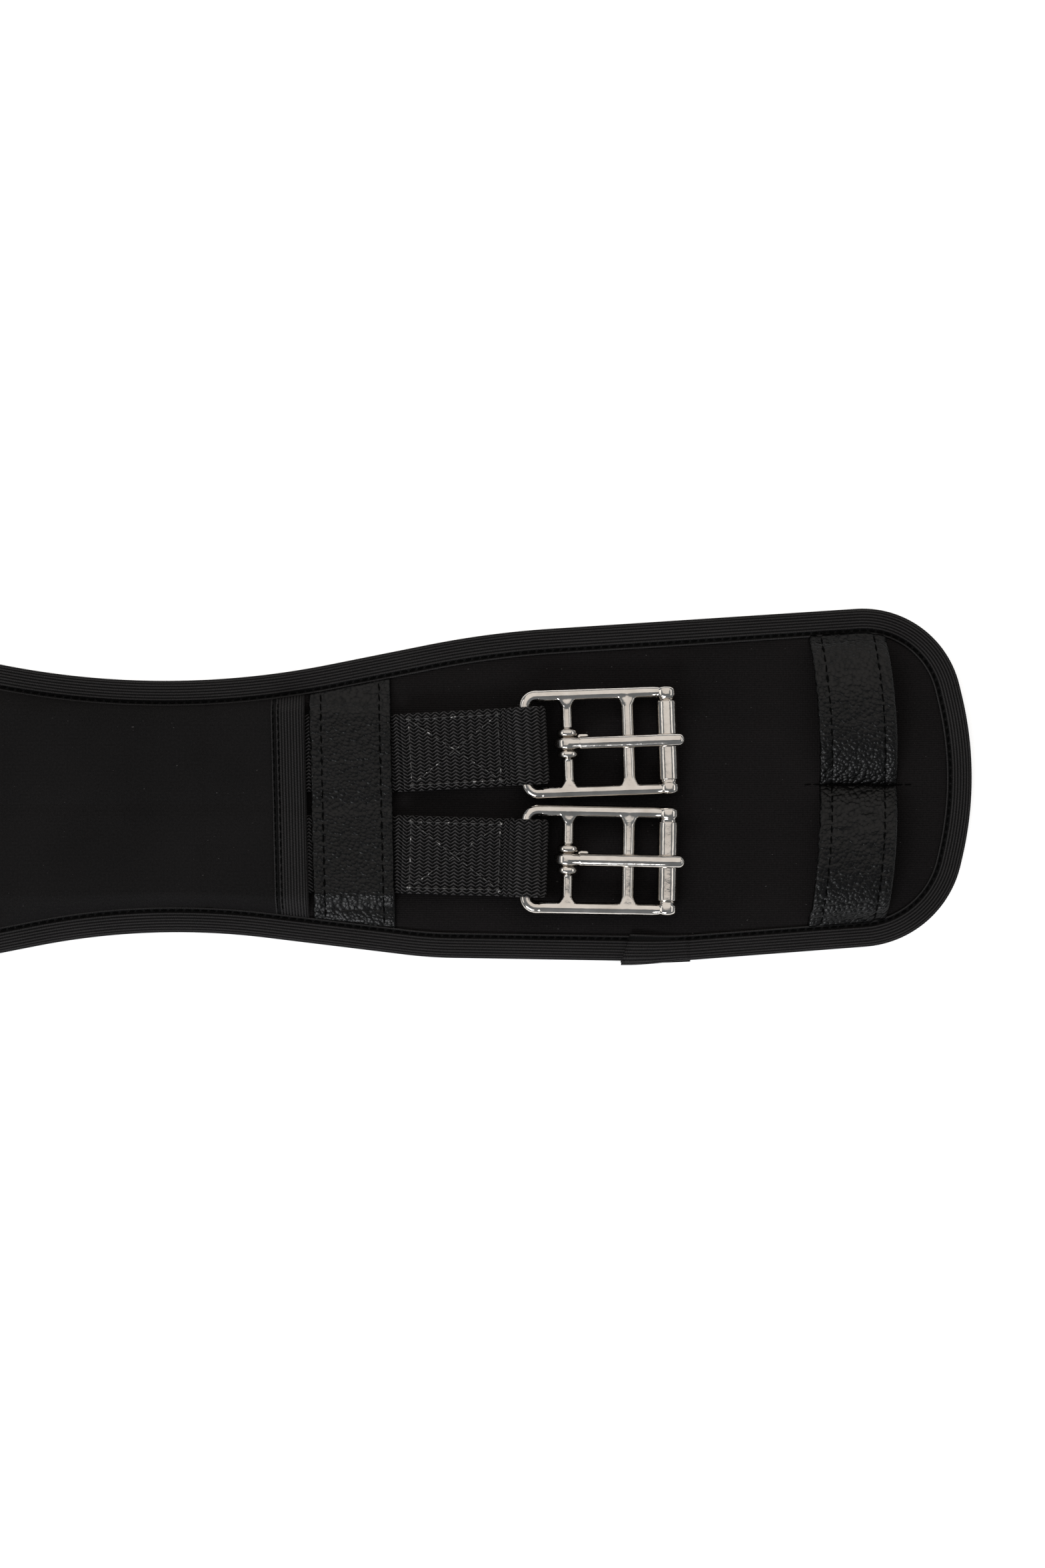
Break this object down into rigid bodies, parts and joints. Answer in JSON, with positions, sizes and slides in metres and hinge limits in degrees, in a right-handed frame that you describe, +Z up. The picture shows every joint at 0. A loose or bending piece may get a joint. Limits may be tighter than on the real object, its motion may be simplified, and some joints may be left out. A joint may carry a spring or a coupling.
{
  "type": "saddle girth",
  "caption": "Contoured padded girth strap with bound edges, two webbing straps with roller buckles at each end and leather keepers for the billet ends.",
  "frame": {"origin": "middle of the lining, on the surface the girth lies on", "axes": "+X along the girth to one pair of buckles, +Y across it to the edge cut in deeper for the horse's elbows, +Z up out of the buckle side"},
  "size_m": [0.7006, 0.1148, 0.0176],
  "materials": {
    "lining_jersey": "matt knitted jersey",
    "neoprene": "closed cell foam rubber",
    "face_jersey": "matt fine ribbed jersey",
    "cover_jersey": "matt smooth jersey",
    "binding_tape": "ribbed elastic tape with a slight sheen",
    "webbing": "coarse crosswise ribbed webbing",
    "thread": "glossy nylon thread",
    "strip_leather": "semi-gloss pebble grain",
    "steel": "polished stainless steel"
  },
  "bodies": {
    "pad_middle": {"lining_middle": "lining_jersey", "neoprene_core_middle": "neoprene", "face_jersey_middle": "face_jersey", "edge_binding_middle": "binding_tape", "binding_thread_middle": "thread", "cover_panel_middle": "cover_jersey", "inner_webbings_middle": "webbing"},
    "pad_right": {"lining_right": "lining_jersey", "neoprene_core_right": "neoprene", "face_jersey_right": "face_jersey", "edge_binding_right": "binding_tape", "binding_thread_right": "thread", "cover_panel_right": "cover_jersey", "inner_webbings_right": "webbing", "cover_end_tape_right": "binding_tape", "cover_end_thread_right": "thread", "anchor_strip_right": "strip_leather", "anchor_strip_thread_right": "thread", "keeper_right": "strip_leather", "keeper_thread_right": "thread", "keeper_seam_thread_right": "thread"},
    "pad_left": {"lining_left": "lining_jersey", "neoprene_core_left": "neoprene", "face_jersey_left": "face_jersey", "edge_binding_left": "binding_tape", "binding_thread_left": "thread", "cover_panel_left": "cover_jersey", "inner_webbings_left": "webbing", "cover_end_tape_left": "binding_tape", "cover_end_thread_left": "thread", "anchor_strip_left": "strip_leather", "anchor_strip_thread_left": "thread", "keeper_left": "strip_leather", "keeper_thread_left": "thread", "keeper_seam_thread_left": "thread"},
    "strap_right_front": {"buckle_strap_right_front": "webbing", "box_stitch_right_front": "thread"},
    "buckle_right_front": {"buckle_frame_right_front": "steel"},
    "tongue_right_front": {"buckle_tongue_right_front": "steel"},
    "roller_right_front": {"buckle_roller_right_front": "steel"},
    "strap_right_rear": {"buckle_strap_right_rear": "webbing", "box_stitch_right_rear": "thread"},
    "buckle_right_rear": {"buckle_frame_right_rear": "steel"},
    "tongue_right_rear": {"buckle_tongue_right_rear": "steel"},
    "roller_right_rear": {"buckle_roller_right_rear": "steel"},
    "strap_left_front": {"buckle_strap_left_front": "webbing", "box_stitch_left_front": "thread"},
    "buckle_left_front": {"buckle_frame_left_front": "steel"},
    "tongue_left_front": {"buckle_tongue_left_front": "steel"},
    "roller_left_front": {"buckle_roller_left_front": "steel"},
    "strap_left_rear": {"buckle_strap_left_rear": "webbing", "box_stitch_left_rear": "thread"},
    "buckle_left_rear": {"buckle_frame_left_rear": "steel"},
    "tongue_left_rear": {"buckle_tongue_left_rear": "steel"},
    "roller_left_rear": {"buckle_roller_left_rear": "steel"}
  },
  "joints": [
    {"name": "pad_bend_right", "type": "hinge", "parent": "pad_middle", "child": "pad_right", "pos_m": [0.095, 0, 0.0112], "axis": [0, -1, 0], "range_deg": [0, 60]},
    {"name": "pad_bend_left", "type": "hinge", "parent": "pad_middle", "child": "pad_left", "pos_m": [-0.095, 0, 0.0112], "axis": [0, 1, 0], "range_deg": [0, 60]},
    {"name": "strap_lift_right_front", "type": "hinge", "parent": "pad_right", "child": "strap_right_front", "pos_m": [0.16646, 0.01104, 0.0121], "axis": [0.0558, -0.9984, 0], "range_deg": [0, 25]},
    {"name": "buckle_swing_right_front", "type": "hinge", "parent": "strap_right_front", "child": "buckle_right_front", "pos_m": [0.2068, 0.0136, 0.0118], "axis": [0.0349, -0.9994, 0], "range_deg": [0, 70]},
    {"name": "tongue_pivot_right_front", "type": "hinge", "parent": "buckle_right_front", "child": "tongue_right_front", "pos_m": [0.22009, 0.01406, 0.01137], "axis": [0.0349, -0.9994, 0], "range_deg": [0, 95]},
    {"name": "roller_spin_right_front", "type": "hinge", "parent": "buckle_right_front", "child": "roller_right_front", "pos_m": [0.25205, 0.01518, 0.01035], "axis": [0.0349, -0.9994, 0], "continuous": true},
    {"name": "strap_lift_right_rear", "type": "hinge", "parent": "pad_right", "child": "strap_right_rear", "pos_m": [0.16642, -0.0214, 0.0121], "axis": [-0.0297, -0.9996, 0], "range_deg": [0, 25]},
    {"name": "buckle_swing_right_rear", "type": "hinge", "parent": "strap_right_rear", "child": "buckle_right_rear", "pos_m": [0.2068, -0.0228, 0.0118], "axis": [-0.0192, -0.9998, 0], "range_deg": [0, 70]},
    {"name": "tongue_pivot_right_rear", "type": "hinge", "parent": "buckle_right_rear", "child": "tongue_right_rear", "pos_m": [0.22009, -0.02305, 0.01137], "axis": [-0.0192, -0.9998, 0], "range_deg": [0, 95]},
    {"name": "roller_spin_right_rear", "type": "hinge", "parent": "buckle_right_rear", "child": "roller_right_rear", "pos_m": [0.25207, -0.02367, 0.01035], "axis": [-0.0192, -0.9998, 0], "continuous": true},
    {"name": "strap_lift_left_front", "type": "hinge", "parent": "pad_left", "child": "strap_left_front", "pos_m": [-0.16646, 0.01104, 0.0121], "axis": [0.0558, 0.9984, 0], "range_deg": [0, 25]},
    {"name": "buckle_swing_left_front", "type": "hinge", "parent": "strap_left_front", "child": "buckle_left_front", "pos_m": [-0.2068, 0.0136, 0.0118], "axis": [0.0349, 0.9994, 0], "range_deg": [0, 70]},
    {"name": "tongue_pivot_left_front", "type": "hinge", "parent": "buckle_left_front", "child": "tongue_left_front", "pos_m": [-0.22009, 0.01406, 0.01137], "axis": [0.0349, 0.9994, 0], "range_deg": [0, 95]},
    {"name": "roller_spin_left_front", "type": "hinge", "parent": "buckle_left_front", "child": "roller_left_front", "pos_m": [-0.25205, 0.01518, 0.01035], "axis": [0.0349, 0.9994, 0], "continuous": true},
    {"name": "strap_lift_left_rear", "type": "hinge", "parent": "pad_left", "child": "strap_left_rear", "pos_m": [-0.16642, -0.0214, 0.0121], "axis": [-0.0297, 0.9996, 0], "range_deg": [0, 25]},
    {"name": "buckle_swing_left_rear", "type": "hinge", "parent": "strap_left_rear", "child": "buckle_left_rear", "pos_m": [-0.2068, -0.0228, 0.0118], "axis": [-0.0192, 0.9998, 0], "range_deg": [0, 70]},
    {"name": "tongue_pivot_left_rear", "type": "hinge", "parent": "buckle_left_rear", "child": "tongue_left_rear", "pos_m": [-0.22009, -0.02305, 0.01137], "axis": [-0.0192, 0.9998, 0], "range_deg": [0, 95]},
    {"name": "roller_spin_left_rear", "type": "hinge", "parent": "buckle_left_rear", "child": "roller_left_rear", "pos_m": [-0.25207, -0.02367, 0.01035], "axis": [-0.0192, 0.9998, 0], "continuous": true}
  ]
}
